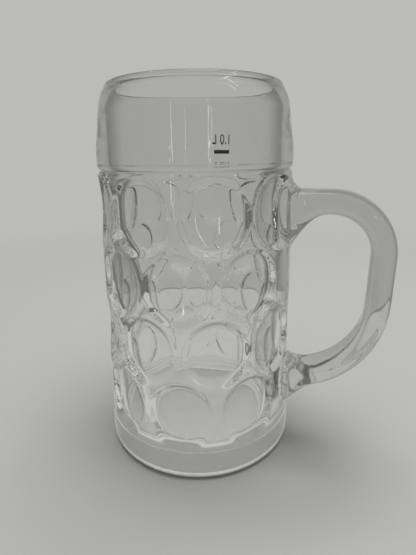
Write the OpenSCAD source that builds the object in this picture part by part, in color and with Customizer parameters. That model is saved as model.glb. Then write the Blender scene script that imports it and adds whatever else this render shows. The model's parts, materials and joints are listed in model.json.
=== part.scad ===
// Dimpled glass beer mug, one litre: a thick glass body with four staggered rows
// of round hollows, a hot-fused glass handle and an enamel fill line.
// Millimetres, +Z up. The origin is the centre of the ring that the mug stands on,
// and the handle points along +X.

/* [Outline of the body] */
// Height from the table to the top of the lip
mug_h = 200; // [180:1:230]
// Diameter of the foot band
foot_d = 110.6; // [100:0.2:124]
// Height of the foot band, up to its step
foot_h = 18; // [15:0.5:22]
// Step at the top of the foot band, in to the ridges above it
foot_step = 0.7; // [0.3:0.1:1.5]
// Lean of the ridges, inwards from the foot band to the groove
ridge_lean = 2.7; // [0.8:0.1:3.6]
// How far the bead stands out over the top of the ridges
bead_out = 0; // [0:0.1:1.5]
// Height of the plain band, from the middle of the bead to the top of the lip
band_h = 38.4; // [30:0.2:50]
// Height of the upright strip over the bead, where the plain band starts to lean
strip_h = 6; // [4:0.5:10]
// Lean of the plain band, inwards from the upright strip to the shoulder
band_lean = 2.8; // [1:0.1:5]
// Distance of the start of the shoulder below the lip
shoulder_drop = 14; // [12:0.5:17]
// Radius of the drawn-in shoulder
shoulder_r = 20; // [18:0.5:24]
// Radius of the heel under the foot band
heel_r = 5; // [3:0.5:7]
// Depth of the shallow hollow under the base
punt_h = 2; // [1:0.5:4]
// Width of the ring that the mug stands on
stand_w = 7; // [4:0.5:12]

/* [Bead] */
// Radius of the bead's round edge
bead_r = 2.6; // [2:0.1:3.2]
// Depth of the groove under the bead
groove_deep = 1.5; // [0.2:0.1:1.6]
// Height of the groove's lower slope
groove_h = 2.4; // [1.5:0.1:4]

/* [Inside] */
// Thickness of the wall just above the foot band
wall_low = 7.7; // [7.2:0.1:9]
// Thickness of the wall where the shoulder starts
wall_top = 3.5; // [3:0.1:4.4]
// Thickness of the base at its middle
base_t = 14; // [9:0.5:18]
// Radius between the floor and the wall
floor_r = 11; // [6:0.5:16]
// Radius of the inside of the shoulder
inner_shoulder_r = 16; // [15:0.5:17]
// Radius of the rounded lip
lip_r = 2.4; // [2:0.1:2.6]

/* [Hollows] */
// Hollows in each row, all round
hollows = 9; // [7:1:9]
// Distance of the top row's centres below the bead
row_drop = 22; // [20:0.2:26]
// Distance of the low row's centres above the foot band
row_lift = 21.4; // [19:0.2:26]
// Radius of a hollow at the surface, as a share of the distance between the rows
hollow_share = 0.545; // [0.4:0.005:0.56]
// Depth of a hollow at its middle
hollow_deep = 5.2; // [3:0.1:5.6]
// Slope of the wall of a hollow, from the axis of the hollow
hollow_draft = 45; // [30:1:50]
// Radius of the slightly dished bottom of a hollow
dish_r = 90; // [60:5:200]
// Height of the soft bump that each hollow raises on the inside
bump_h = 3.2; // [1:0.1:3.6]
// Radius of that bump
bump_r = 38; // [34:1:44]

/* [Handle] */
// Distance of the middle of the grip from the top of the ridges
grip_out = 47.1; // [40:0.2:60]
// Distance of the middle of the upper arm below the bead
arm_top_drop = 18.4; // [16:0.2:26]
// Distance of the middle of the lower arm above the foot band
arm_low_lift = 26.7; // [22:0.2:36]
// Radius of the upper bend, as a share of the distance between the arms
bend_top_share = 0.265; // [0.2:0.005:0.4]
// Radius of the lower bend, as a share of the distance between the arms
bend_low_share = 0.486; // [0.3:0.002:0.5]
// Width of the bar, across the mug
bar_w = 22.4; // [15:0.2:26]
// Thickness of the bar
bar_t = 12.1; // [9:0.1:15]
// How square the bar's corners are, 2 for an oval
bar_square = 3; // [2:0.1:4]
// Flare above the upper seat
flare_top_up = 4.6; // [2:0.2:7]
// Flare below the upper seat
flare_top_down = 20.5; // [10:0.5:24]
// Flare above the lower seat
flare_low_up = 4.2; // [2:0.2:8]
// Flare below the lower seat
flare_low_down = 13; // [6:0.5:16]
// Flare on each side of both seats
flare_side = 1.5; // [0.5:0.5:4]
// Length along the arm of the flares above the upper seat and beside both seats
flare_short = 5; // [3:0.5:8]
// Length along the arm of the flare below the upper seat
flare_top_run = 19.8; // [10:0.2:20]
// Length along the arm of the flares above and below the lower seat
flare_low_run = 15; // [8:0.5:20]
// How square the outline of the seats is, 2 for an oval
seat_square = 2.4; // [2:0.1:4]

/* [Print] */
// Length of the enamel fill line, along the curve
line_len = 11.4; // [8:0.2:20]
// Height of the stroke of the fill line
line_w = 1; // [0.6:0.1:1.6]
// Thickness of the enamel
enamel_t = 0.2; // [0.1:0.05:0.4]
// Height of the top of the fill line, at the full measure, above the bead's middle
line_lift = 2.8; // [1:0.2:4]
// Direction of the print, turned from the handle
line_turn = 90; // [60:1:120]

/* [Colours] */
// Colour of the glass body
glass_tone = "lightsteelblue";
// Colour of the handle
handle_tone = "lightgray";
// Colour of the enamel
enamel_tone = "black";

/* [Hidden] */
$fn = 96;
// Sides of the handle's section, and rings along its parts
bar_sides = 28;
bend_rings = 12;
root_rings = 9;
// One overrun for all cuts
over = 6;

// Radii and heights that follow
foot_r = foot_d / 2;
ridge_low_r = foot_r - foot_step;
ridge_top_r = ridge_low_r - ridge_lean;
bead_reach = ridge_top_r + bead_out;
bead_x = bead_reach - bead_r;
bead_z = mug_h - band_h;
shoulder_reach = bead_reach - band_lean;
shoulder_x = shoulder_reach - shoulder_r;
shoulder_z = mug_h - shoulder_drop;
strip_z = bead_z + strip_h;
groove_x = ridge_top_r - groove_deep;
groove_z = bead_z - bead_r / 2 - groove_h / 2;
ridge_top_z = groove_z - groove_h;
bore_low_r = ridge_low_r - wall_low;
bore_top_r = shoulder_reach - wall_top;
inner_shoulder_x = bore_top_r - inner_shoulder_r;
line_z = bead_z + line_lift;

// The lip is a full round whose outside lies on the shoulder's arc
lip_z = mug_h - lip_r;
lip_reach = lip_z - shoulder_z;
lip_x = shoulder_x + sqrt(pow(shoulder_r, 2) - pow(lip_reach, 2)) - lip_r;

// Radius over the ridges at a height between the foot and the groove
function ridge_at(z) = ridge_low_r
    + (ridge_top_r - ridge_low_r) * (z - foot_h) / (ridge_top_z - foot_h);

// Turn and height of each hollow. The places behind the handle in every other row
// stay plain.
rows = 4;
turn_step = 360 / hollows;
row_top_z = bead_z - row_drop;
row_step = (row_top_z - foot_h - row_lift) / (rows - 1);
hollow_r = hollow_share * min(row_step, 2 * ridge_top_r * sin(turn_step / 2));
places = [for (row = [0:rows - 1], i = [0:hollows - 1])
    let (turn = (i + (row % 2 == 0 ? 1 / 2 : 0)) * turn_step)
    if (row % 2 == 0 || i > 0) [turn, row_top_z - row * row_step]];

// Outside of the body as a solid of revolution, seen in section
module outer_section() {
    intersection() {
        union() {
            polygon([
                [0, 0],
                [foot_r - heel_r, 0],
                [foot_r, heel_r],
                [foot_r, foot_h - foot_step],
                [ridge_low_r, foot_h],
                [ridge_top_r, ridge_top_z],
                [groove_x, groove_z],
                [bead_x, bead_z],
                [bead_reach, bead_z],
                [bead_reach, strip_z],
                [shoulder_reach, shoulder_z],
                [0, shoulder_z]
            ]);
            translate([foot_r - heel_r, heel_r]) circle(r = heel_r);
            intersection() {
                translate([bead_x, bead_z]) circle(r = bead_r);
                translate([0, groove_z]) square([bead_reach, bead_z - groove_z]);
            }
            translate([0, shoulder_z]) square([shoulder_x, lip_reach]);
            intersection() {
                translate([shoulder_x, shoulder_z]) circle(r = shoulder_r);
                translate([0, shoulder_z]) square([shoulder_reach, lip_reach]);
            }
            translate([lip_x, lip_z]) circle(r = lip_r);
        }
        square([foot_d, mug_h]);
    }
}

// Inside of the mug, open at the lip
module inner_section() {
    wall_z = base_t + floor_r;
    floor_x = bore_low_r - floor_r;
    difference() {
        union() {
            translate([0, base_t]) square([floor_x, floor_r]);
            intersection() {
                translate([floor_x, wall_z]) circle(r = floor_r);
                square([bore_low_r, wall_z]);
            }
            polygon([
                [0, wall_z],
                [bore_low_r, wall_z],
                [bore_low_r, ridge_top_z],
                [bore_top_r, bead_z],
                [bore_top_r, shoulder_z],
                [0, shoulder_z]
            ]);
            translate([0, shoulder_z]) square([inner_shoulder_x, lip_reach]);
            intersection() {
                translate([inner_shoulder_x, shoulder_z]) circle(r = inner_shoulder_r);
                translate([0, shoulder_z]) square([bore_top_r, lip_reach]);
            }
            translate([0, lip_z]) square([lip_x, lip_r + over]);
        }
        translate([lip_x, lip_z]) circle(r = lip_r);
    }
}

// Cutter for one hollow: a dished bottom inside a sloping wall, along +X from its bottom
module hollow_cut() {
    reach = hollow_deep + over;
    spread = tan(hollow_draft);
    rotate([0, 90, 0]) rotate_extrude() intersection() {
        translate([0, dish_r]) circle(r = dish_r, $fn = 4 * $fn);
        polygon([
            [0, 0],
            [hollow_r - hollow_deep * spread, 0],
            [hollow_r + over * spread, reach],
            [0, reach]
        ]);
    }
}

// Body without its inside, which is also what the handle is fitted to
module blank() {
    difference() {
        rotate_extrude() outer_section();
        for (p = places)
            rotate([0, 0, p[0]])
                translate([ridge_at(p[1]) - hollow_deep, 0, p[1]])
                    hollow_cut();
    }
}

// Space inside the mug, with the soft bumps that the hollows raise
module inside() {
    difference() {
        rotate_extrude() inner_section();
        for (p = places)
            rotate([0, 0, p[0]])
                translate([bore_low_r - bump_h + bump_r, 0, p[1]])
                    sphere(r = bump_r);
    }
}

// Shallow spherical hollow under the base, inside the standing ring
module punt() {
    edge = foot_r - heel_r - stand_w;
    ball = (pow(edge, 2) + pow(punt_h, 2)) / (2 * punt_h);
    translate([0, 0, punt_h - ball]) sphere(r = ball, $fn = 4 * $fn);
}

module body() {
    color(glass_tone, 0.6) difference() {
        blank();
        inside();
        punt();
    }
}

// Handle: stations along the middle line, each with a place, a direction and the
// half sizes of its section above, below and across the bar.

// Growth of a flare of a size and a length at the distance s from the wall
function flare(size, run, s) = size * pow(max(0, 1 - max(s, 0) / run), 2);

grip_x = ridge_top_r + grip_out;
arm_top_z = bead_z - arm_top_drop;
arm_low_z = foot_h + arm_low_lift;
arm_gap = arm_top_z - arm_low_z;
bend_top_r = min(bend_top_share * arm_gap, grip_out - bar_t);
bend_low_r = min(bend_low_share * arm_gap, grip_out + hollow_deep);
root_x = ridge_top_r - 2 * hollow_deep;
straight_x = grip_x - bend_top_r;
low_x = grip_x - bend_low_r;
top_wall = ridge_at(arm_top_z);
low_wall = ridge_at(arm_low_z);

function share(i, n) = i / n;

// Station: [x, z, direction, up, down, side, squareness], with up on the outer side
// of the loop. Each flare is [size, length].
function station(x, z, a, wall, up, down) =
    let (
        s = x - wall,
        seat_share = flare(1, flare_short, s)
    )
    [
        x, z, a,
        bar_t / 2 + flare(up[0], up[1], s),
        bar_t / 2 + flare(down[0], down[1], s),
        bar_w / 2 + flare_side * seat_share,
        bar_square + (seat_square - bar_square) * seat_share
    ];

function top_station(x, z, a) =
    station(x, z, a, top_wall, [flare_top_up, flare_short], [flare_top_down, flare_top_run]);
function low_station(x, z, a) =
    station(x, z, a, low_wall, [flare_low_down, flare_low_run], [flare_low_up, flare_low_run]);

// Distances from the root to the start of the bend, closer together near the wall
top_run = [for (i = [0:root_rings]) let (t = share(i, root_rings)) pow(t, 1.3)];

stations = concat(
    [top_station(root_x, arm_top_z, 0)],
    [for (t = top_run) top_station(top_wall + (straight_x - top_wall) * t, arm_top_z, 0)],
    [for (i = [1:bend_rings]) let (a = 90 * share(i, bend_rings))
        top_station(straight_x + bend_top_r * sin(a), arm_top_z - bend_top_r + bend_top_r * cos(a), a)],
    [for (i = [0:bend_rings + root_rings]) let (a = 90 + 90 * share(i, bend_rings + root_rings))
        low_station(low_x + bend_low_r * sin(a), arm_low_z + bend_low_r + bend_low_r * cos(a), a)],
    [low_station(root_x, arm_low_z, 180)]
);

// Point of a section that is an oval with squared corners
function bar_point(s, i) =
    let (
        a = 360 * share(i, bar_sides),
        k = 2 / s[6],
        across = sign(sin(a)) * pow(abs(sin(a)), k) * s[5],
        c = sign(cos(a)) * pow(abs(cos(a)), k),
        out = c > 0 ? c * s[3] : c * s[4]
    )
    [s[0] + out * sin(s[2]), across, s[1] + out * cos(s[2])];

module bar() {
    rings = len(stations);
    points = [for (s = stations, i = [0:bar_sides - 1]) bar_point(s, i)];
    sides = [for (r = [0:rings - 2], i = [0:bar_sides - 1])
        let (a = r * bar_sides + i, b = r * bar_sides + (i + 1) % bar_sides)
        [a, b, b + bar_sides, a + bar_sides]];
    first = [for (i = [0:bar_sides - 1]) bar_sides - 1 - i];
    last = [for (i = [0:bar_sides - 1]) (rings - 1) * bar_sides + i];
    polyhedron(points = points, faces = concat(sides, [first, last]), convexity = 6);
}

module handle() {
    color(handle_tone, 0.7) difference() {
        bar();
        blank();
    }
}

// Enamel stroke that lies on the upright strip over the bead
module fill_line() {
    turn = line_len / bead_reach * 180 / PI;
    color(enamel_tone) rotate([0, 0, line_turn - turn / 2])
        rotate_extrude(angle = turn)
            translate([bead_reach, line_z - line_w]) square([enamel_t, line_w]);
}

body();
handle();
fill_line();
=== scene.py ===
# %% [markdown]
# # A dimpled glass beer mug
#
# The real mug is one litre of clear soda-lime glass. A gob is pressed and blown in a
# mould, which gives the foot, four rows of round hollows, a small bead and a plain
# drawn-in band. A second piece of hot glass, the handle, is fused on, and a short
# enamel fill line with its measure is printed on the band. This file dresses the
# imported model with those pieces, one step at a time.

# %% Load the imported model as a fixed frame
import json
import math

import bpy
import numpy as np
from mathutils import Matrix, Vector

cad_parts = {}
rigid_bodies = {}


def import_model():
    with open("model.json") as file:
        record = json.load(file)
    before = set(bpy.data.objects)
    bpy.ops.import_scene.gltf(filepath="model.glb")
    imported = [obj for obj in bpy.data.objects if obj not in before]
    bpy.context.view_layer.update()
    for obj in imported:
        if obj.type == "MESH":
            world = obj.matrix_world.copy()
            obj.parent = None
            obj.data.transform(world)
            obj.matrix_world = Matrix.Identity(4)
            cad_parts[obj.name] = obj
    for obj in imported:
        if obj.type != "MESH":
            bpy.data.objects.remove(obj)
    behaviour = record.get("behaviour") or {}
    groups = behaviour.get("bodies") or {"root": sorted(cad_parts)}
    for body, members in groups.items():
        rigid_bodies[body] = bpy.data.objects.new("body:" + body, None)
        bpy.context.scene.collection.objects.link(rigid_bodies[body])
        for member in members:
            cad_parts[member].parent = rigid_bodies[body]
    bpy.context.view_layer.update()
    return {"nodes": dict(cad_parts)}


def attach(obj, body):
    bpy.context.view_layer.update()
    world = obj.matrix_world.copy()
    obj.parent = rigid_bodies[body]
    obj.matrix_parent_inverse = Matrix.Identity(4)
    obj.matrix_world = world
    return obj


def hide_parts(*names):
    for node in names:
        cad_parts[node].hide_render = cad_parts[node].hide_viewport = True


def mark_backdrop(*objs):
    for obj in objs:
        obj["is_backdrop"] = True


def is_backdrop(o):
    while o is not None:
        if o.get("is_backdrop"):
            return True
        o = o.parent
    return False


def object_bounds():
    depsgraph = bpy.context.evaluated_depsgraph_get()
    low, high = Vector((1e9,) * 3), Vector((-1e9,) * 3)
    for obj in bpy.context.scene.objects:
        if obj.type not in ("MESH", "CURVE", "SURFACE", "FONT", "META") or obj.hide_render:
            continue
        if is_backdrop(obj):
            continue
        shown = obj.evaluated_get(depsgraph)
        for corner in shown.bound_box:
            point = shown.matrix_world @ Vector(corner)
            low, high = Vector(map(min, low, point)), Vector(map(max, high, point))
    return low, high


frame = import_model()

MM = 0.001

# %% [markdown]
# ## The camera
#
# The photograph was taken from close by, a little above the middle of the mug, with
# the handle to the right. The values were found by matching the outline of the
# solids to the outline of the mug. Blender's camera looks along its own -Z, so the
# three axes below are right, up and backwards.

# %% Camera at the photograph's angle
PHOTO_TURN = math.radians(20.5)
PHOTO_PITCH, PHOTO_ROLL, PHOTO_YAW = 0.309, -0.0128, 0.0159
PHOTO_PLACE = Vector((2.4, -222.4, 167.4)) * MM
PHOTO_FOCUS_PX, PHOTO_TALL_PX, SENSOR_MM = 393.45, 555, 36


def photo_axes():
    """Right, up and backwards of the photograph's camera, before the turn."""
    forward = Vector((
        math.sin(PHOTO_YAW) * math.cos(PHOTO_PITCH),
        math.cos(PHOTO_YAW) * math.cos(PHOTO_PITCH),
        -math.sin(PHOTO_PITCH),
    ))
    right = Vector((math.cos(PHOTO_YAW), -math.sin(PHOTO_YAW), 0))
    up = right.cross(forward)
    c, s = math.cos(PHOTO_ROLL), math.sin(PHOTO_ROLL)
    return Matrix((right * c + up * s, up * c - right * s, -forward)).transposed()


turn = Matrix.Rotation(PHOTO_TURN, 3, "Z")
bpy.ops.object.camera_add()
camera = bpy.context.object
camera.name = "photo_camera"
camera.data.sensor_width = SENSOR_MM
camera.data.lens = PHOTO_FOCUS_PX / PHOTO_TALL_PX * SENSOR_MM
camera.data.clip_start = 10 * MM
camera.matrix_world = Matrix.Translation(turn @ PHOTO_PLACE) @ (turn @ photo_axes()).to_4x4()
bpy.context.scene.camera = camera
print("camera at, mm:", [round(v / MM, 1) for v in camera.matrix_world.translation])

# %% [markdown]
# ## The studio
#
# Glass shows only what is around it, so the room matters more than any lamp. A round
# bowl of pale paper stands all about the mug: a flat floor, a soft curve and a wall.
# A box of planes would be quicker to make, but its corners would show in the glass.
# The bowl is a line of points spun once round the mug's axis.

# %% Bowl of pale paper
FLOOR_R, FLOOR_RING_R, SWEEP_R, WALL_H = 1.0, 0.3, 0.45, 1.9
SWEEP_STEPS, BOWL_STEPS = 16, 96


def deselect():
    """Leaves nothing selected, so that the next operator acts only on its own piece."""
    if bpy.context.object and bpy.context.object.mode != "OBJECT":
        bpy.ops.object.mode_set(mode="OBJECT")
    bpy.ops.object.select_all(action="DESELECT")


def only(piece):
    """Selects one piece and makes it the active one."""
    deselect()
    piece.select_set(True)
    bpy.context.view_layer.objects.active = piece


def thread(name, points):
    """Draws a line of points by extruding one vertex from place to place."""
    deselect()
    bpy.ops.mesh.primitive_plane_add(size=MM)
    piece = bpy.context.object
    piece.name = piece.data.name = name
    bpy.ops.object.mode_set(mode="EDIT")
    bpy.ops.mesh.merge(type="CENTER")
    bpy.ops.transform.translate(value=points[0])
    for here, there in zip(points, points[1:]):
        bpy.ops.mesh.extrude_region_move(TRANSFORM_OT_translate={"value": there - here})
    bpy.ops.mesh.select_all(action="SELECT")
    return piece


def spun(name, points, steps, weld=0.01 * MM):
    """Spins a line of (radius, height) points once round the mug's axis."""
    piece = thread(name, [Vector((r, 0, z)) for r, z in points])
    bpy.ops.mesh.spin(steps=steps, angle=math.tau, center=(0, 0, 0), axis=(0, 0, 1))
    bpy.ops.mesh.select_all(action="SELECT")
    bpy.ops.mesh.remove_doubles(threshold=weld)
    bpy.ops.mesh.normals_make_consistent(inside=False)
    bpy.ops.mesh.faces_shade_smooth()
    bpy.ops.object.mode_set(mode="OBJECT")
    return piece


def arc(centre, radius, start, end, steps):
    """Points along an arc of a section, angles in degrees from the outward side."""
    angles = np.radians(np.linspace(start, end, steps + 1))
    return [(centre[0] + radius * math.cos(a), centre[1] + radius * math.sin(a)) for a in angles]


def straight(a, b, steps):
    """Points along a straight part of a section, without its last point."""
    across, up = b[0] - a[0], b[1] - a[1]
    return [(a[0] + across * i / steps, a[1] + up * i / steps) for i in range(steps)]


studio_floor = spun(
    "studio_floor", [(0.0, 0.0), (FLOOR_RING_R, 0.0), (FLOOR_R, 0.0)], BOWL_STEPS)
studio_wall = spun(
    "studio_wall",
    arc((FLOOR_R, SWEEP_R), SWEEP_R, -90, 0, SWEEP_STEPS) + [(FLOOR_R + SWEEP_R, WALL_H)],
    BOWL_STEPS,
)
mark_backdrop(studio_floor, studio_wall)
print("studio wall at", FLOOR_R + SWEEP_R, "m, up to", WALL_H, "m")

# %% [markdown]
# ### Its paper
#
# Near the mug the floor is matt paper lit by the lamps, so the camera sees the mug's
# shadow on it. The wall, the far floor, and all that is seen through the glass or
# mirrored on it show plain tones of their own instead, which keep the greys whatever
# the lamps do. Light Path tells the rays apart. The wall gets darker with height, and
# so the upper half of the mug looks greyer than its foot. Two more things are there
# for the glass alone: a thin darker line round the mug, where a table would end, and
# paper that gets darker round the sides and towards the photographer. It gives the
# hollows their dark crescents and the mug its dark outline.

# %% Helpers for materials
PAPER_TINT = (1.0, 1.0, 0.985)


def new_material(name):
    """An empty node material and its Principled BSDF."""
    material = bpy.data.materials.new(name)
    material.use_nodes = True
    return material, material.node_tree.nodes["Principled BSDF"]


def give(piece, material):
    """Makes a material the only one of a piece."""
    piece.data.materials.clear()
    piece.data.materials.append(material)


def grey(tone):
    """A tone of the paper's colour."""
    return (*(tone * c for c in PAPER_TINT), 1)


def link(tree, a, b):
    """Joins an output to an input."""
    tree.links.new(a, b)


def feed(tree, value, socket):
    """Joins an output to an input, or gives the input a plain value."""
    if isinstance(value, bpy.types.NodeSocket):
        link(tree, value, socket)
    else:
        socket.default_value = value


def maths(tree, operation, *values):
    """One step of arithmetic between outputs and plain numbers."""
    node = tree.nodes.new("ShaderNodeMath")
    node.operation = operation
    for value, socket in zip(values, node.inputs):
        feed(tree, value, socket)
    return node.outputs[0]


def ramp(tree, value, start, end, low=0.0, high=1.0, kind="LINEAR"):
    """A change from low to high while a value goes from start to end."""
    node = tree.nodes.new("ShaderNodeMapRange")
    node.interpolation_type = kind
    feed(tree, start, node.inputs["From Min"])
    feed(tree, end, node.inputs["From Max"])
    feed(tree, low, node.inputs["To Min"])
    feed(tree, high, node.inputs["To Max"])
    link(tree, value, node.inputs["Value"])
    return node.outputs["Result"]


def smooth_step(tree, value, start, end):
    """Zero below start, one above end, and a smooth change between them."""
    return ramp(tree, value, start, end, kind="SMOOTHSTEP")


def colour_mix(tree, share, a, b):
    """A mix of two colours, each an output or a plain colour."""
    node = tree.nodes.new("ShaderNodeMix")
    node.data_type = "RGBA"
    link(tree, share, node.inputs["Factor"])
    colours = [socket for socket in node.inputs if socket.type == "RGBA"]
    feed(tree, a, colours[0])
    feed(tree, b, colours[1])
    return [socket for socket in node.outputs if socket.type == "RGBA"][0]


def object_place(tree):
    """Where a point is on its own piece."""
    return tree.nodes.new("ShaderNodeTexCoord").outputs["Object"]


def vector_step(tree, operation, a, b=None):
    """One step of arithmetic on a vector, whose two outputs are a vector and a number."""
    node = tree.nodes.new("ShaderNodeVectorMath")
    node.operation = operation
    link(tree, a, node.inputs[0])
    if b is not None:
        node.inputs[1].default_value = b
    return node.outputs


def height_of(tree, place):
    """Height of a place."""
    split = tree.nodes.new("ShaderNodeSeparateXYZ")
    link(tree, place, split.inputs[0])
    return split.outputs["Z"]


print("helpers for materials are ready")

# %% Paper of the floor and the wall
TABLE_TONE, PAPER_TONE, EDGE_LINE_TONE = 0.60, 0.50, 0.30
TABLE_R, EDGE_LINE = 0.262, 0.008
TOP_TONE, TOP_FROM, TOP_TO = 0.14, 0.7, 1.5
FLOOR_FADE_IN, FLOOR_FADE_OUT = 0.30, 0.80
FRONT_TONE, FRONT_FROM, FRONT_TO = 0.15, -0.8, -0.2
PAPER_ROUGHNESS = 0.9


def seen_by(tree, *kinds):
    """One where a ray is of any of these kinds, else zero."""
    path = tree.nodes.new("ShaderNodeLightPath")
    mask = path.outputs[kinds[0]]
    for kind in kinds[1:]:
        mask = maths(tree, "MAXIMUM", mask, path.outputs[kind])
    return mask


def darker_front(tree, place, away, colour):
    """Leaves a tone as it is behind the mug, and turns it darker round the sides and
    towards the photographer, for the glass alone."""
    to_camera = (math.sin(PHOTO_TURN), -math.cos(PHOTO_TURN), 0)
    along = vector_step(tree, "DOT_PRODUCT", place, to_camera)["Value"]
    front = smooth_step(tree, maths(tree, "DIVIDE", along, away), FRONT_FROM, FRONT_TO)
    unseen = maths(tree, "SUBTRACT", 1.0, seen_by(tree, "Is Camera Ray"))
    return colour_mix(tree, maths(tree, "MULTIPLY", front, unseen), colour, grey(FRONT_TONE))


def floor_look(tree):
    """Tones: the table inside its edge, a thin darker line there, and paper beyond.
    Glass and gloss see them, and so does the camera far from the mug, where the floor
    runs into the wall. Near the mug the camera sees its shadow."""
    place = object_place(tree)
    away = vector_step(tree, "LENGTH", place)["Value"]
    in_line = smooth_step(tree, away, TABLE_R, TABLE_R + EDGE_LINE / 2)
    beyond = smooth_step(tree, away, TABLE_R + EDGE_LINE, TABLE_R + 3 * EDGE_LINE / 2)
    table = colour_mix(tree, in_line, grey(TABLE_TONE), grey(EDGE_LINE_TONE))
    paper = darker_front(tree, place, away, grey(PAPER_TONE))
    fade = smooth_step(tree, away, FLOOR_FADE_IN, FLOOR_FADE_OUT)
    far = maths(tree, "MULTIPLY", seen_by(tree, "Is Camera Ray"), fade)
    glass = seen_by(tree, "Is Glossy Ray", "Is Transmission Ray")
    return colour_mix(tree, beyond, table, paper), maths(tree, "MAXIMUM", far, glass)


def wall_look(tree):
    """Paper that gets darker towards the top, for camera, gloss and glass alike."""
    place = object_place(tree)
    away = vector_step(tree, "LENGTH", place)["Value"]
    paper = darker_front(tree, place, away, grey(PAPER_TONE))
    high = smooth_step(tree, height_of(tree, place), TOP_FROM, TOP_TO)
    rays = seen_by(tree, "Is Camera Ray", "Is Glossy Ray", "Is Transmission Ray")
    return colour_mix(tree, high, paper, grey(TOP_TONE)), rays


def studio_paper(name, look):
    """Matt paper lit by the lamps, that shows a look's plain tone where its mask says."""
    material, bsdf = new_material(name)
    tree = material.node_tree
    tone, mask = look(tree)
    glow = tree.nodes.new("ShaderNodeEmission")
    mix = tree.nodes.new("ShaderNodeMixShader")
    link(tree, tone, glow.inputs["Color"])
    link(tree, mask, mix.inputs[0])
    link(tree, bsdf.outputs[0], mix.inputs[1])
    link(tree, glow.outputs[0], mix.inputs[2])
    link(tree, mix.outputs[0], tree.nodes["Material Output"].inputs["Surface"])
    bsdf.inputs["Base Color"].default_value = grey(PAPER_TONE)
    bsdf.inputs["Roughness"].default_value = PAPER_ROUGHNESS
    bsdf.inputs["Specular IOR Level"].default_value = 0.0
    return material


give(studio_floor, studio_paper("floor_paper", floor_look))
give(studio_wall, studio_paper("wall_paper", wall_look))
print("paper tones:", TABLE_TONE, "near the mug,", PAPER_TONE, "beyond")

# %% [markdown]
# ### Its lamps
#
# A wide soft lamp overhead lights the paper and gives the mug its shadow. It is kept
# out of the glass, where it would show as a white square. What shows there are narrow
# strips: two on each side in front, for streaks on ridges and handle, one high on the
# right, and a long one high behind the mug, for thin bright lines on the handle, the
# bead and the lip. The sky adds an even light, and to camera, gloss and glass it has
# the tone of the wall's top, so the bowl seems to have no end.

# %% Lamps
MUG_MIDDLE = Vector((0, 0, 0.1))
OVERHEAD_PLACE, OVERHEAD_SIZE, OVERHEAD_WATTS = (0.15, 0.1, 1.7), (1.1, 1.1), 17
STRIP_LAMPS = (
    # name, azimuth, distance, height, size, watts
    ("strip_right_high", 164, 0.9, 0.40, (0.014, 0.07), 0.03),
    ("strip_right_low", 164, 0.9, 0.10, (0.014, 0.18), 0.05),
    ("strip_left_high", -154, 0.9, 0.34, (0.014, 0.06), 0.015),
    ("strip_left_low", -154, 0.9, 0.08, (0.014, 0.22), 0.07),
    ("strip_top", 120, 0.45, 0.9, (0.03, 0.5), 0.15),
    ("strip_over", 0, 0.30, 1.1, (1.0, 0.03), 1.1),
)


def around(azimuth, distance, height):
    """A place round the mug: azimuth in degrees from the photograph's line of sight,
    0 behind the mug and 180 behind the camera, positive to the right."""
    a = math.radians(90 - azimuth) + PHOTO_TURN
    return Vector((distance * math.cos(a), distance * math.sin(a), height))


def soft_lamp(name, place, size, watts):
    """A rectangular soft lamp that points at the middle of the mug."""
    deselect()
    bpy.ops.object.light_add(type="AREA", location=place)
    lamp = bpy.context.object
    lamp.name = name
    lamp.data.shape = "RECTANGLE"
    lamp.data.size, lamp.data.size_y = size
    lamp.data.energy = watts
    lamp.rotation_mode = "QUATERNION"
    lamp.rotation_quaternion = (MUG_MIDDLE - Vector(place)).to_track_quat("-Z", "Y")
    return lamp


overhead = soft_lamp("overhead_softbox", OVERHEAD_PLACE, OVERHEAD_SIZE, OVERHEAD_WATTS)
overhead.visible_glossy = overhead.visible_transmission = False
for name, azimuth, distance, height, size, watts in STRIP_LAMPS:
    soft_lamp(name, around(azimuth, distance, height), size, watts)

# %% Sky
SKY_TONE, SKY_STRENGTH = 0.8, 0.75
MOST_BOUNCES, MOST_MIRRORED = 32, 16

world = bpy.context.scene.world or bpy.data.worlds.new("World")
bpy.context.scene.world = world
world.use_nodes = True
sky = world.node_tree
lit = sky.nodes["Background"]
lit.inputs["Color"].default_value = (SKY_TONE, SKY_TONE, SKY_TONE, 1)
lit.inputs["Strength"].default_value = SKY_STRENGTH
shown = sky.nodes.new("ShaderNodeBackground")
shown.inputs["Color"].default_value = (TOP_TONE, TOP_TONE, TOP_TONE, 1)
mix = sky.nodes.new("ShaderNodeMixShader")
link(sky, seen_by(sky, "Is Camera Ray", "Is Glossy Ray", "Is Transmission Ray"), mix.inputs[0])
link(sky, lit.outputs[0], mix.inputs[1])
link(sky, shown.outputs[0], mix.inputs[2])
link(sky, mix.outputs[0], sky.nodes["World Output"].inputs["Surface"])
bpy.context.scene.view_settings.view_transform = "Standard"
bpy.context.scene.cycles.max_bounces = MOST_BOUNCES
bpy.context.scene.cycles.transmission_bounces = MOST_BOUNCES
bpy.context.scene.cycles.glossy_bounces = MOST_MIRRORED
print("sky strength:", SKY_STRENGTH, "light may pass", MOST_BOUNCES, "surfaces of glass")

# %% [markdown]
# ## The body
#
# The pressed body is round, so its section is drawn once, as a line from the middle
# of the base, up the outside, over the lip and down the inside to the floor. Spin
# turns the line into a wall. The line has a point at about every millimetre beside
# the hollows, because they are pressed into it next. These sizes repeat the solid's,
# apart from two that were set by how the glass looks: the round corner by the floor,
# and a very fine crease over the bead.

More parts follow.
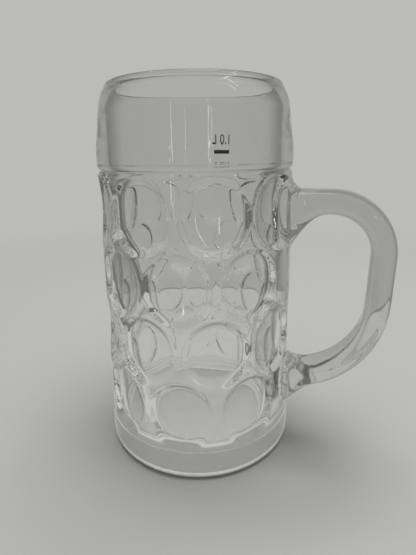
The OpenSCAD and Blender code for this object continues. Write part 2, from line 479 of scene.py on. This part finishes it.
# %% Sizes of the body, in millimetres and degrees
FOOT_R, FOOT_H, HEEL_R, STEP_ROUND, STEP_END = 55.3, 18.0, 5.0, 0.9, 75
RIDGE_LOW_R, RIDGE_TOP_R, RIDGE_TOP_Z = 54.6, 51.9, 156.7
GROOVE_R, GROOVE_Z = 50.4, 159.1
BEAD_R, BEAD_Z, BEAD_ROUND, BEAD_START = 51.9, 161.6, 2.6, -60
CREASE_Z, CREASE_DEEP, CREASE_HALF = 162.3, 0.22, 0.4
STRIP_Z, STRIP_ROUND = 167.6, 60.0
SHOULDER_R, SHOULDER_Z, SHOULDER_ROUND = 49.1, 186.0, 20.0
LIP_ROUND, LIP_Z, LIP_START = 2.4, 197.6, 12
PUNT_R, PUNT_H, PUNT_LIFT, PUNT_EDGE = 43.3, 2.0, 0.25, 1.2
BORE_LOW_R, BORE_TOP_R, FLOOR_Z, FLOOR_ROUND = 46.9, 45.6, 14.0, 8.0
BORE_LOW_Z, BORE_TOP_Z, INNER_ROUND = 151.0, 161.0, 16.0
STEPS_ROUND, ROWS_OUTSIDE, ROWS_INSIDE = 270, 126, 90

# Gaps between two stretches of the line, so that no two of its points lie too close
HEEL_GAP, STEP_GAP, INNER_GAP = 1.0, 1.1, 1.5
SHOULDER_GAP_TURN, INNER_GAP_TURN = 2, 4

# What follows from the sizes: the shoulder's arc, the cone that touches it, and the lip
SHOULDER_X = SHOULDER_R - SHOULDER_ROUND
LIP_REACH = LIP_Z - SHOULDER_Z
LIP_X = SHOULDER_X + math.sqrt(SHOULDER_ROUND**2 - LIP_REACH**2) - LIP_ROUND
STRIP_REACH = math.hypot(BEAD_R - SHOULDER_X, STRIP_Z - SHOULDER_Z)
STRIP_TURN = math.atan2(STRIP_Z - SHOULDER_Z, BEAD_R - SHOULDER_X)
BAND_LEAN = math.acos(SHOULDER_ROUND / STRIP_REACH) + STRIP_TURN
print("lean of the band, degrees:", round(math.degrees(BAND_LEAN), 2), "lip, mm:", round(LIP_X, 2))


# %% The body's section
def ridge_at(z):
    """Radius over the ridges at a height."""
    return RIDGE_LOW_R + (RIDGE_TOP_R - RIDGE_LOW_R) * (z - FOOT_H) / (RIDGE_TOP_Z - FOOT_H)


def band_line():
    """Section of the plain band: the fine crease over the bead, upright for a few
    millimetres, then bent gently inwards."""
    bend = STRIP_ROUND * math.tan(BAND_LEAN / 2)
    bent = arc((BEAD_R - STRIP_ROUND, STRIP_Z - bend), STRIP_ROUND, 0, math.degrees(BAND_LEAN), 8)
    touch = (SHOULDER_X + SHOULDER_ROUND * math.cos(BAND_LEAN),
             SHOULDER_Z + SHOULDER_ROUND * math.sin(BAND_LEAN))
    crease = [(BEAD_R, CREASE_Z - CREASE_HALF), (BEAD_R - CREASE_DEEP, CREASE_Z),
              (BEAD_R, CREASE_Z + CREASE_HALF)]
    return crease + bent[:-1] + straight(bent[-1], touch, 12)


def band_at(z):
    """Radius of the plain band at a height."""
    line = band_line()
    return float(np.interp(z, [p[1] for p in line], [p[0] for p in line]))


def outside_line():
    """Section of the outside, from the middle of the base to the top of the lip."""
    ball = (PUNT_R**2 + PUNT_H**2) / (2 * PUNT_H)
    punt_radii = np.linspace(0, PUNT_R, 11)[:-1]
    punt = [(r, PUNT_H - ball + math.sqrt(ball**2 - r**2)) for r in punt_radii]
    stand = straight((PUNT_R, PUNT_LIFT), (PUNT_R + PUNT_EDGE, 0), 2)
    stand += straight((PUNT_R + PUNT_EDGE, 0), (FOOT_R - HEEL_R, 0), 4)
    heel = arc((FOOT_R - HEEL_R, HEEL_R), HEEL_R, -90, 0, 9)
    foot = straight((FOOT_R, HEEL_R + HEEL_GAP), (FOOT_R, FOOT_H - STEP_GAP), 7)
    step = arc((FOOT_R - STEP_ROUND, FOOT_H - STEP_ROUND), STEP_ROUND, 0, STEP_END, 6)
    wall = straight((RIDGE_LOW_R, FOOT_H), (RIDGE_TOP_R, RIDGE_TOP_Z), ROWS_OUTSIDE)
    groove = straight((RIDGE_TOP_R, RIDGE_TOP_Z), (GROOVE_R, GROOVE_Z), 3)
    groove += [(GROOVE_R, GROOVE_Z)]
    bead = arc((BEAD_R - BEAD_ROUND, BEAD_Z), BEAD_ROUND, BEAD_START, 0, 7)
    rise = math.degrees(math.asin(LIP_REACH / SHOULDER_ROUND))
    shoulder = arc((SHOULDER_X, SHOULDER_Z), SHOULDER_ROUND, math.degrees(BAND_LEAN),
                   rise - SHOULDER_GAP_TURN, 10)
    return punt + stand + heel + foot + step + wall + groove + bead + band_line() + shoulder


def inside_line():
    """Section of the lip and the inside, down to the middle of the floor."""
    lip = arc((LIP_X, LIP_Z), LIP_ROUND, LIP_START, 180, 14)
    drop = math.degrees(math.asin(LIP_REACH / INNER_ROUND))
    inner = arc((BORE_TOP_R - INNER_ROUND, SHOULDER_Z), INNER_ROUND, drop - INNER_GAP_TURN, 0, 9)
    top = straight((BORE_TOP_R, SHOULDER_Z - INNER_GAP), (BORE_TOP_R, BORE_TOP_Z), 10)
    share = np.linspace(0, 1, 9)[:-1]
    soft = BORE_TOP_R + (BORE_LOW_R - BORE_TOP_R) * share**2 * (3 - 2 * share)
    low = list(zip(soft, BORE_TOP_Z + (BORE_LOW_Z - BORE_TOP_Z) * share))
    low += straight((BORE_LOW_R, BORE_LOW_Z), (BORE_LOW_R, FLOOR_Z + FLOOR_ROUND), ROWS_INSIDE)
    floor_x = BORE_LOW_R - FLOOR_ROUND
    bowl = arc((floor_x, FLOOR_Z + FLOOR_ROUND), FLOOR_ROUND, 0, -90, 12)
    flat = [(r, FLOOR_Z) for r in np.linspace(floor_x, 0, 9)[1:]]
    return lip + inner + top + low + bowl + flat


# %% Spin the section into a wall
section = [(r * MM, z * MM) for r, z in outside_line() + inside_line()]
body = spun("glass_body", section, STEPS_ROUND)
print("section points:", len(section), "body faces:", len(body.data.polygons))

# %% [markdown]
# ## The hollows
#
# Each hollow is a shallow dish with a sloping wall, and behind it the inside swells
# in a soft bump, as glass does when a mould pushes it. There are nine round the mug
# in each of four rows, and every other row is turned by half a place. Where the
# handle sits on the wall a hollow is left out. The points of the wall are moved
# along their own radius: outside to the dish, inside to the bump. A smooth minimum
# rounds the ridges, which are never sharp on pressed glass, and rounds them most just
# over the foot, where this mug is smooth.

# %% Places of the hollows, in millimetres
HOLLOWS, HOLLOW_ROWS, ROW_TOP_Z, ROW_STEP = 9, 4, 139.6, 33.4
HOLLOW_R, HOLLOW_DEEP, DISH_R, WALL_SLOPE = 18.4, 5.2, 60.0, 1.5
BUMP_H, BUMP_R = 2.4, 48.0
RIM_SOFT, RIM_SOFT_FOOT, DISH_SOFT, BUMP_SOFT = 1.3, 5.0, 3.2, 4.5
SOFTER_OVER_FOOT, SOFTER_LONG = 14, 10

hollow_places = [
    (math.tau * (i + (0.5 if row % 2 == 0 else 0)) / HOLLOWS, ROW_TOP_Z - row * ROW_STEP)
    for row in range(HOLLOW_ROWS)
    for i in range(HOLLOWS)
    if row % 2 == 0 or i > 0
]
print("hollows:", len(hollow_places))


# %% Shapes of a hollow and its bump
SEARCH_START, SEARCH_PASSES = 1.0, 12


def soft_min(a, b, soft):
    """The smaller of two lengths, with a round change from one to the other."""
    share = np.clip(0.5 + 0.5 * (b - a) / soft, 0, 1)
    return b + (a - b) * share - soft * share * (1 - share)


def dish_radius(turn_off, rise, z_middle):
    """Radius of a hollow's surface, for points turned and raised from its middle. It
    is found in passes, because the turn reaches further across on a larger radius."""
    bottom = ridge_at(z_middle) - HOLLOW_DEEP
    radius = np.full(turn_off.shape, bottom + SEARCH_START)
    for _ in range(SEARCH_PASSES):
        away = np.sqrt((radius * np.sin(turn_off)) ** 2 + rise**2)
        dish = DISH_R - np.sqrt(np.maximum(DISH_R**2 - away**2, 1.0))
        slope = WALL_SLOPE * (away - HOLLOW_R) + HOLLOW_DEEP
        radius = (bottom - soft_min(-dish, -slope, DISH_SOFT)) / np.cos(turn_off)
    return radius


def bump_radius(turn_off, rise):
    """Radius of the soft bump on the inside, beyond it where the bump doesn't reach."""
    middle = BORE_LOW_R - BUMP_H + BUMP_R
    across = (middle * np.sin(turn_off)) ** 2 + rise**2
    reach = np.sqrt(np.maximum(BUMP_R**2 - across, 0))
    return middle * np.cos(turn_off) - reach


# %% Press them into the wall
OVER_FOOT, OVER_RIDGES, OUTER_SKIN = 0.1, 0.5, 0.4
OVER_FLOOR, INNER_SKIN = 6, 0.3
REACH_TURN, REACH_Z = 0.5, 27

points = np.empty(len(body.data.vertices) * 3)
body.data.vertices.foreach_get("co", points)
points = points.reshape(-1, 3) / MM
angle = np.arctan2(points[:, 1], points[:, 0])
radius = np.hypot(points[:, 0], points[:, 1])
height = points[:, 2]
beside = (height > FOOT_H + OVER_FOOT) & (height < RIDGE_TOP_Z + OVER_RIDGES)
outer = beside & (radius > ridge_at(height) - OUTER_SKIN)
above_floor = (height > FLOOR_Z + OVER_FLOOR) & (height < BORE_TOP_Z)
inner = above_floor & (radius < BORE_LOW_R + INNER_SKIN)
near_foot = np.clip((FOOT_H + SOFTER_OVER_FOOT - height) / SOFTER_LONG, 0, 1)
rim = RIM_SOFT + (RIM_SOFT_FOOT - RIM_SOFT) * near_foot
pressed = radius.copy()
for place, z in hollow_places:
    off = (angle - place + math.pi) % math.tau - math.pi
    near = (np.abs(off) < REACH_TURN) & (np.abs(height - z) < REACH_Z)
    at = outer & near
    pressed[at] = soft_min(pressed[at], dish_radius(off[at], height[at] - z, z), rim[at])
    at = inner & near
    pressed[at] = soft_min(pressed[at], bump_radius(off[at], height[at] - z), BUMP_SOFT)
points[:, 0] *= pressed / np.maximum(radius, 1e-6)
points[:, 1] *= pressed / np.maximum(radius, 1e-6)
body.data.vertices.foreach_set("co", (points * MM).ravel())
body.data.update()
print("deepest hollow, mm:", round(float((radius - pressed)[outer].max()), 2),
      "highest bump, mm:", round(float((radius - pressed)[inner].max()), 2))

# %% [markdown]
# ## The handle
#
# The handle is one loop of a bar with rounded corners. Its ring of points is set
# down at the root and extruded from station to station: out along the upper arm,
# round the tight upper bend, round the wide lower bend, and back to the wall. Near
# the wall the bar flares, most of all on the underside, where the hot glass ran.

# %% Sizes and stations of the handle
GRIP_X, ARM_TOP_Z, ARM_LOW_Z, BEND_TOP_R, BEND_LOW_R = 99.0, 143.2, 44.7, 26.1, 47.9
BAR_W, BAR_T, BAR_SQUARE, SEAT_SQUARE = 22.4, 12.1, 3.0, 2.4
FLARE_SIDE = (1.5, 5.0)
FLARES_TOP, FLARES_LOW = ((4.6, 5.0), (20.5, 19.8)), ((13.0, 15.0), (4.2, 15.0))
ROOT_R, SUNK = 47.3, 6
SIDES, ARM_STEPS, BEND_STEPS = 56, 30, 30


def flare(size, run, away):
    """Growth of a flare of a size and a length at a distance from the wall."""
    return size * max(0, 1 - max(away, 0) / run) ** 2


def station(x, z, lean, wall, flares):
    """Place, lean, half sizes above, below and across, and squareness of a ring."""
    away = x - wall
    over, under = flares
    share = flare(1, FLARE_SIDE[1], away)
    return (x, z, lean, BAR_T / 2 + flare(*over, away), BAR_T / 2 + flare(*under, away),
            BAR_W / 2 + FLARE_SIDE[0] * share, BAR_SQUARE + (SEAT_SQUARE - BAR_SQUARE) * share)


def handle_stations():
    """Stations from the upper root round the loop to the lower root."""
    top_wall, low_wall = ridge_at(ARM_TOP_Z), ridge_at(ARM_LOW_Z)
    bend_x, low_x = GRIP_X - BEND_TOP_R, GRIP_X - BEND_LOW_R
    rings = [station(ROOT_R - SUNK, ARM_TOP_Z, 0, top_wall, FLARES_TOP)]
    for i in range(ARM_STEPS + 1):
        x = top_wall - SUNK + (bend_x - top_wall + SUNK) * i / ARM_STEPS
        rings.append(station(x, ARM_TOP_Z, 0, top_wall, FLARES_TOP))
    for i in range(1, BEND_STEPS + 1):
        a = math.pi / 2 * i / BEND_STEPS
        z = ARM_TOP_Z - BEND_TOP_R + BEND_TOP_R * math.cos(a)
        rings.append(station(bend_x + BEND_TOP_R * math.sin(a), z, a, top_wall, FLARES_TOP))
    for i in range(2 * BEND_STEPS + 1):
        a = math.pi / 2 * (1 + i / (2 * BEND_STEPS))
        z = ARM_LOW_Z + BEND_LOW_R + BEND_LOW_R * math.cos(a)
        rings.append(station(low_x + BEND_LOW_R * math.sin(a), z, a, low_wall, FLARES_LOW))
    rings.append(station(ROOT_R - SUNK, ARM_LOW_Z, math.pi, low_wall, FLARES_LOW))
    return rings


def ring_points(ring):
    """Points of one ring, an oval with squared corners, in metres."""
    x, z, lean, up, down, side, square = ring
    a = np.linspace(0, math.tau, SIDES, endpoint=False)
    c, s = np.cos(a), np.sin(a)
    lift = np.sign(c) * np.abs(c) ** (2 / square)
    lift = np.where(lift > 0, lift * up, lift * down)
    across = np.sign(s) * np.abs(s) ** (2 / square) * side
    return np.stack([x + lift * math.sin(lean), across, z + lift * math.cos(lean)], 1) * MM


# %% Extrude the ring along the stations
def loft(name, rings):
    """Extrudes a circle from ring to ring, moving its points to each ring's shape."""
    deselect()
    bpy.ops.mesh.primitive_circle_add(vertices=SIDES, radius=BAR_W / 2 * MM)
    piece = bpy.context.object
    piece.name = piece.data.name = name
    for number, ring in enumerate(rings):
        bpy.ops.object.mode_set(mode="EDIT")
        if number:
            bpy.ops.mesh.extrude_region_move()
        bpy.ops.object.mode_set(mode="OBJECT")
        places = ring_points(ring)
        start = len(piece.data.vertices) - SIDES
        for i in range(SIDES):
            piece.data.vertices[start + i].co = places[i]
    only(piece)
    bpy.ops.object.mode_set(mode="EDIT")
    bpy.ops.mesh.select_all(action="SELECT")
    bpy.ops.mesh.region_to_loop()
    bpy.ops.mesh.edge_face_add()
    bpy.ops.mesh.select_all(action="SELECT")
    bpy.ops.mesh.normals_make_consistent(inside=False)
    bpy.ops.mesh.faces_shade_smooth()
    bpy.ops.object.mode_set(mode="OBJECT")
    return piece


handle = loft("glass_handle", handle_stations())
print("handle faces:", len(handle.data.polygons))

# %% [markdown]
# ## Fusing the handle on
#
# On the real mug the handle's glass runs into the wall, with no surface between them.
# So the handle's root is first cut to a curve inside the wall, and then a union joins
# the two pieces. The points near the weld are smoothed into a fillet. Afterwards the
# pieces are parted again along the weld, so that each keeps its own name, and each
# is closed there with a face of perfectly clear material that light doesn't notice.
# Blender's order of faces changes from run to run, and a union changes a little with
# it, so points and faces are sorted first.

# %% Materials that mark the two pieces and the weld
def clear_material(name):
    """A material that lets everything through, for the closed faces at the weld."""
    material, bsdf = new_material(name)
    bsdf.inputs["Alpha"].default_value = 0.0
    return material


body_glass, body_bsdf = new_material("body_glass")
handle_glass, handle_bsdf = new_material("handle_glass")
weld_clear = clear_material("weld_clear")
give(body, body_glass)
give(handle, handle_glass)


# %% A fixed order of points and faces
def in_order(piece):
    """Sorts a piece's points by place, and its faces by their points. A face of four
    points keeps the diagonal along which it is drawn as two triangles."""
    mesh = piece.data
    places = [tuple(vertex.co) for vertex in mesh.vertices]
    order = sorted(range(len(places)), key=places.__getitem__)
    number = {old: new for new, old in enumerate(order)}
    faces = []
    for face in mesh.polygons:
        ring = [number[v] for v in face.vertices]
        ends = ring[::2] if len(ring) == 4 else ring
        first = ring.index(min(ends))
        faces.append((ring[first:] + ring[:first], face.material_index))
    faces.sort()
    piece.data = bpy.data.meshes.new(mesh.name)
    piece.data.from_pydata([places[i] for i in order], [], [ring for ring, _ in faces])
    for material in mesh.materials:
        piece.data.materials.append(material)
    piece.data.polygons.foreach_set("material_index", [kind for _, kind in faces])
    piece.data.shade_smooth()
    bpy.data.meshes.remove(mesh)


in_order(body)
in_order(handle)
print("points in order:", len(body.data.vertices), len(handle.data.vertices))

# %% Cut the root and join the two
CUTTER_STEPS, CUTTER_TALL = 256, 0.25


def boolean(piece, tool, operation):
    """Applies a boolean of one piece with another, which is then deleted."""
    only(piece)
    change = piece.modifiers.new(operation.lower(), "BOOLEAN")
    change.operation = operation
    change.object = tool
    change.solver = "EXACT"
    change.material_mode = "TRANSFER"
    bpy.ops.object.modifier_apply(modifier=change.name)
    bpy.data.objects.remove(tool)


deselect()
bpy.ops.mesh.primitive_cylinder_add(
    vertices=CUTTER_STEPS, radius=ROOT_R * MM, depth=CUTTER_TALL, location=MUG_MIDDLE)
boolean(handle, bpy.context.object, "DIFFERENCE")
in_order(handle)
boolean(body, handle, "UNION")
in_order(body)
print("joined:", len(body.data.polygons), "faces,", [m.name for m in body.data.materials])

# %% Smooth the weld into a fillet
WELD_RINGS, WELD_MERGE, WELD_PASSES, WELD_SMOOTH = 3, 0.15, 12, 0.5


def weld_points(piece):
    """Points that have faces of both materials around them."""
    seen = {}
    for face in piece.data.polygons:
        for v in face.vertices:
            seen.setdefault(v, set()).add(face.material_index)
    return [v for v, kinds in seen.items() if len(kinds) > 1]


only(body)
bpy.ops.object.mode_set(mode="EDIT")
bpy.ops.mesh.select_all(action="DESELECT")
bpy.ops.object.mode_set(mode="OBJECT")
seam = weld_points(body)
for v in seam:
    body.data.vertices[v].select = True
bpy.ops.object.mode_set(mode="EDIT")
for _ in range(WELD_RINGS):
    bpy.ops.mesh.select_more()
bpy.ops.mesh.remove_doubles(threshold=WELD_MERGE * MM)
bpy.ops.mesh.vertices_smooth(factor=WELD_SMOOTH, repeat=WELD_PASSES)
bpy.ops.mesh.select_all(action="SELECT")
bpy.ops.mesh.faces_shade_smooth()
bpy.ops.object.mode_set(mode="OBJECT")
print("weld points:", len(seam))

# %% Part the pieces along the weld
# The joined normals are kept on the points, so that the weld stays smooth when parted
normals = np.empty(len(body.data.vertices) * 3, np.float32)
body.data.vertex_normals.foreach_get("vector", normals)
joined_normal = body.data.attributes.new("joined_normal", "FLOAT_VECTOR", "POINT")
joined_normal.data.foreach_set("vector", normals)

only(body)
bpy.ops.object.mode_set(mode="EDIT")
bpy.ops.mesh.select_all(action="SELECT")
bpy.ops.mesh.separate(type="MATERIAL")
bpy.ops.object.mode_set(mode="OBJECT")
parted = sorted(bpy.context.selected_objects, key=lambda o: o.bound_box[0][0])


def close_weld(piece, glass):
    """Closes a piece where it was parted, with the clear material, and gives it back
    the normals that it had as one glass."""
    only(piece)
    give(piece, glass)
    piece.data.materials.append(weld_clear)
    for face in piece.data.polygons:
        face.material_index = 0
    bpy.ops.object.mode_set(mode="EDIT")
    bpy.ops.mesh.select_all(action="DESELECT")
    bpy.ops.mesh.select_non_manifold()
    bpy.ops.mesh.edge_face_add()
    piece.active_material_index = 1
    bpy.ops.object.material_slot_assign()
    bpy.ops.mesh.quads_convert_to_tris()
    bpy.ops.object.mode_set(mode="OBJECT")
    kept = np.empty(len(piece.data.vertices) * 3, np.float32)
    piece.data.attributes["joined_normal"].data.foreach_get("vector", kept)
    piece.data.normals_split_custom_set_from_vertices(kept.reshape(-1, 3).tolist())
    piece.data.attributes.remove(piece.data.attributes["joined_normal"])


body, handle = parted[0], parted[-1]
handle.name = handle.data.name = "glass_handle"
body.name = body.data.name = "glass_body"
close_weld(body, body_glass)
close_weld(handle, handle_glass)
print("parts:", [(o.name, len(o.data.polygons)) for o in parted])

# %% [markdown]
# ## The glass
#
# Soda-lime glass has an index of about 1.52 and a faint grey-green tint. It is never
# quite even: the surface of a pressed mug has slow waves from the mould, small
# ripples where it cooled, and fine wear where it is washed and stacked. The thick
# foot looks olive, and its outside is also painted darker, as painted shade for the
# shade under the mug. Its underside is rough, with a comb of fine ticks round the
# edge, as moulds leave it. One node group gives all that as a tint, a roughness and
# a normal, and both pieces use it with their own values.

# %% Helpers for patterns
def noise(tree, place, scale, detail):
    """A cloudy pattern."""
    node = tree.nodes.new("ShaderNodeTexNoise")
    node.inputs["Detail"].default_value = detail
    feed(tree, scale, node.inputs["Scale"])
    link(tree, place, node.inputs["Vector"])
    return node.outputs[0]


def relief(tree, height, strength, distance, under=None):
    """A surface normal from a pattern of heights, over another normal if there is one."""
    node = tree.nodes.new("ShaderNodeBump")
    node.inputs["Distance"].default_value = distance
    feed(tree, strength, node.inputs["Strength"])
    link(tree, height, node.inputs["Height"])
    if under is not None:
        link(tree, under, node.inputs["Normal"])
    return node.outputs[0]


print("helpers for patterns are ready")

# %% Node group: surface of pressed glass
RIPPLE_SCALE, SCUFF_SCALE, CLOUD_SCALE = 420.0, 900.0, 35.0
WAVE_DETAIL, RIPPLE_DETAIL, SCUFF_DETAIL, CLOUD_DETAIL = 1.0, 2.0, 6.0, 3.0
SCUFFS_FROM, SCUFFS_TO = 0.55, 0.85
OLIVE_AND_SHADE_FROM, OLIVE_AND_SHADE_TO = 48 * MM, 52 * MM
TICKS_FROM, TICKS_TO, TICK_STRENGTH = 50 * MM, 51 * MM, 0.3
TINT, TINT_DEEP = (0.905, 0.909, 0.90, 1), (0.865, 0.874, 0.86, 1)
# The foot's colour: olive, as thick glass is, and darker than the body as painted shade for the
# shade under the mug
FOOT_TINT_AND_SHADE = (0.78, 0.79, 0.71, 1)


def foot_and_heel(group, given, place):
    """Masks of the foot's outside and of the underside, and the strength of its ticks."""
    height = height_of(group, place)
    level = vector_step(group, "MULTIPLY", place, (1, 1, 0))["Vector"]
    away = vector_step(group, "LENGTH", level)["Value"]
    low = maths(group, "LESS_THAN", height, given["Foot Height"])
    foot = maths(group, "MULTIPLY", low, ramp(group, away, OLIVE_AND_SHADE_FROM, OLIVE_AND_SHADE_TO))
    base = maths(group, "LESS_THAN", height, given["Base Height"])
    heel = ramp(group, away, TICKS_FROM, TICKS_TO, 0.0, TICK_STRENGTH)
    return foot, base, maths(group, "MULTIPLY", base, heel)


def tick_comb(group, given, place):
    """Heights of the ticks, a comb that goes once round the mug's axis."""
    sweep = group.nodes.new("ShaderNodeTexGradient")
    sweep.gradient_type = "RADIAL"
    link(group, place, sweep.inputs["Vector"])
    return maths(group, "PINGPONG", maths(group, "MULTIPLY", sweep.outputs[1], given["Ticks"]), 1.0)


def make_pressed_surface():
    """Group that gives the tint, roughness and normal of pressed glass."""
    group = bpy.data.node_groups.new("pressed_glass_surface", "ShaderNodeTree")
    for name, kind, value in (
        ("Wave Size", "NodeSocketFloat", 55.0),
        ("Wave Height", "NodeSocketFloat", 0.10),
        ("Ripple Height", "NodeSocketFloat", 0.002),
        ("Roughness", "NodeSocketFloat", 0.0),
        ("Wear", "NodeSocketFloat", 0.008),
        ("Tint", "NodeSocketColor", TINT),
        ("Tint Deep", "NodeSocketColor", TINT_DEEP),
        ("Foot Tint And Shade", "NodeSocketColor", FOOT_TINT_AND_SHADE),
        ("Foot Height", "NodeSocketFloat", 18 * MM),
        ("Base Roughness", "NodeSocketFloat", 0.35),
        ("Base Height", "NodeSocketFloat", 4.5 * MM),
        ("Ticks", "NodeSocketFloat", 110.0),
    ):
        socket = group.interface.new_socket(name, in_out="INPUT", socket_type=kind)
        socket.default_value = value
    for name, kind in (("Tint", "Color"), ("Roughness", "Float"), ("Normal", "Vector")):
        group.interface.new_socket(name, in_out="OUTPUT", socket_type="NodeSocket" + kind)
    given = group.nodes.new("NodeGroupInput").outputs
    result = group.nodes.new("NodeGroupOutput").inputs
    place = object_place(group)
    foot, base, heel = foot_and_heel(group, given, place)

    cloud = noise(group, place, CLOUD_SCALE, CLOUD_DETAIL)
    tint = colour_mix(group, cloud, given["Tint"], given["Tint Deep"])
    # The foot's outside takes its olive tint with painted shade
    link(group, colour_mix(group, foot, tint, given["Foot Tint And Shade"]), result["Tint"])

    scuffs = noise(group, place, SCUFF_SCALE, SCUFF_DETAIL)
    worn = ramp(group, scuffs, SCUFFS_FROM, SCUFFS_TO, given["Roughness"], given["Wear"])
    rough = maths(group, "MULTIPLY_ADD", base, given["Base Roughness"], worn)
    link(group, rough, result["Roughness"])

    waves = noise(group, place, given["Wave Size"], WAVE_DETAIL)
    ripples = noise(group, place, RIPPLE_SCALE, RIPPLE_DETAIL)
    big = relief(group, waves, given["Wave Height"], MM)
    small = relief(group, ripples, given["Ripple Height"], MM, under=big)
    ticks = relief(group, tick_comb(group, given, place), heel, MM, under=small)
    link(group, ticks, result["Normal"])
    return group


pressed_surface = make_pressed_surface()
print("the group's steps:", len(pressed_surface.nodes))

# %% [markdown]
# ### Dressing both pieces
#
# Light that leaves glass at a flat angle has gone a long way through it and comes out
# darker, and real glass shows dark outlines and crescents where it bends and mirrors
# dark things round it. A volume that absorbs light would do that too, but the finish is
# baked for other programs, and a bake holds only what the surface has. Here both are
# painted shade in the surface's colour: the tint turns dark grey where the surface
# turns away from the eye, which Layer Weight measures. No volume that absorbs light is
# used. The handle is solid glass, so its tint is deeper.

# %% Glass of the body and the handle
GLASS_INDEX, EVEN_BLEND = 1.52, 0.5
# Painted shade: the tint turns this dark grey where the surface turns away from the eye, for dark
# outlines and crescents
PAINTED_EDGE_SHADE_FROM, PAINTED_EDGE_SHADE_TO, PAINTED_EDGE_SHADE_TONE = 0.30, 0.90, (0.22, 0.24, 0.23, 1)
HANDLE_TINT, HANDLE_TINT_DEEP = (0.71, 0.713, 0.708, 1), (0.68, 0.687, 0.68, 1)


def dress_glass(material, bsdf, **values):
    """Makes a material clear pressed glass, with its own values for the group. Where
    the surface turns away from the eye it takes painted shade, a dark grey for the outlines."""
    tree = material.node_tree
    surface = tree.nodes.new("ShaderNodeGroup")
    surface.node_tree = pressed_surface
    for name, value in values.items():
        surface.inputs[name.replace("_", " ")].default_value = value
    turned = tree.nodes.new("ShaderNodeLayerWeight")
    turned.inputs["Blend"].default_value = EVEN_BLEND
    link(tree, surface.outputs["Normal"], turned.inputs["Normal"])
    # Painted shade at flat angles to the eye
    painted_edge_shade = smooth_step(tree, turned.outputs["Facing"], PAINTED_EDGE_SHADE_FROM, PAINTED_EDGE_SHADE_TO)
    tone = colour_mix(tree, painted_edge_shade, surface.outputs["Tint"], PAINTED_EDGE_SHADE_TONE)
    link(tree, tone, bsdf.inputs["Base Color"])
    link(tree, surface.outputs["Roughness"], bsdf.inputs["Roughness"])
    link(tree, surface.outputs["Normal"], bsdf.inputs["Normal"])
    bsdf.inputs["Transmission Weight"].default_value = 1.0
    bsdf.inputs["IOR"].default_value = GLASS_INDEX


dress_glass(body_glass, body_bsdf, Wave_Size=55.0, Wave_Height=0.10)
dress_glass(handle_glass, handle_bsdf, Wave_Size=45.0, Wave_Height=0.12,
            Tint=HANDLE_TINT, Tint_Deep=HANDLE_TINT_DEEP)
print("glass index:", GLASS_INDEX)

# %% [markdown]
# ## The print
#
# The fill line is a solid of its own in the model and keeps its shape. Above it a
# mug of this kind carries its measure. The text is made flat, turned into a mesh
# and then laid round the band, so that it reads from outside, at the line.

# %% Measure above the fill line
PRINT_WORDS, PRINT_TALL, PRINT_FOOT, PRINT_THICK = "1.0 L", 5.0, 166.0, 0.12
TYPE_PER_FIGURE, PRINT_LIFT, PRINT_CURVE_STEPS, PRINT_MERGE = 1.4, 0.03, 6, 0.001

deselect()
bpy.ops.object.text_add()
measure = bpy.context.object
measure.name = "measure_print"
measure.data.body = PRINT_WORDS
measure.data.size = PRINT_TALL * TYPE_PER_FIGURE * MM
measure.data.align_x = "CENTER"
measure.data.extrude = PRINT_THICK / 2 * MM
measure.data.resolution_u = PRINT_CURVE_STEPS
bpy.ops.object.convert(target="MESH")
for vertex in measure.data.vertices:
    x, y, z = vertex.co / MM
    high = PRINT_FOOT + y
    far = band_at(high) + PRINT_THICK / 2 + PRINT_LIFT + z
    a = math.pi / 2 + x / band_at(high)
    vertex.co = Vector((far * math.cos(a), far * math.sin(a), high)) * MM
bpy.ops.object.mode_set(mode="EDIT")
bpy.ops.mesh.select_all(action="SELECT")
bpy.ops.mesh.remove_doubles(threshold=PRINT_MERGE * MM)
bpy.ops.mesh.normals_make_consistent(inside=False)
bpy.ops.object.mode_set(mode="OBJECT")
print_corners = Vector(measure.bound_box[0]), Vector(measure.bound_box[6])
print("print, mm:", [round(v / MM, 1) for corner in print_corners for v in corner])

# %% [markdown]
# ### Its enamel
#
# Fired enamel is dense and black, with a fine grain where the glass powder melted. A
# plain black would look like a hole in the glass, so the grain changes its tone, its
# gloss and its relief a little.

# %% Enamel
GRAIN_SCALE, GRAIN_DETAIL, GRAIN_DEEP = 2500.0, 4.0, 0.02 * MM
ENAMEL_TONES, ENAMEL_ROUGHNESS = (0.008, 0.03), (0.25, 0.5)

enamel, enamel_bsdf = new_material("black_enamel")
tree = enamel.node_tree
grain = noise(tree, object_place(tree), GRAIN_SCALE, GRAIN_DETAIL)
link(tree, ramp(tree, grain, 0, 1, *ENAMEL_TONES), enamel_bsdf.inputs["Base Color"])
link(tree, ramp(tree, grain, 0, 1, *ENAMEL_ROUGHNESS), enamel_bsdf.inputs["Roughness"])
link(tree, relief(tree, grain, 1.0, GRAIN_DEEP), enamel_bsdf.inputs["Normal"])
give(measure, enamel)
give(frame["nodes"]["fill_line"], enamel)
print("enamel on the measure and the fill line")

# %% [markdown]
# ## Everything in its place
#
# Every piece rides on the one body, and the body and the handle stand for their solids
# in the model, which are hidden.

# %% Rides and stand-ins
for piece, node, slot in (
    (body, "body", "body_glass"),
    (handle, "handle", "handle_glass"),
    (measure, None, "enamel"),
):
    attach(piece, "root")
    if node:
        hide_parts(node)

# %% Box of the dressed mug
low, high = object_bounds()
print("dressed box, mm:", [round(v / MM, 1) for v in (*low, *high)])
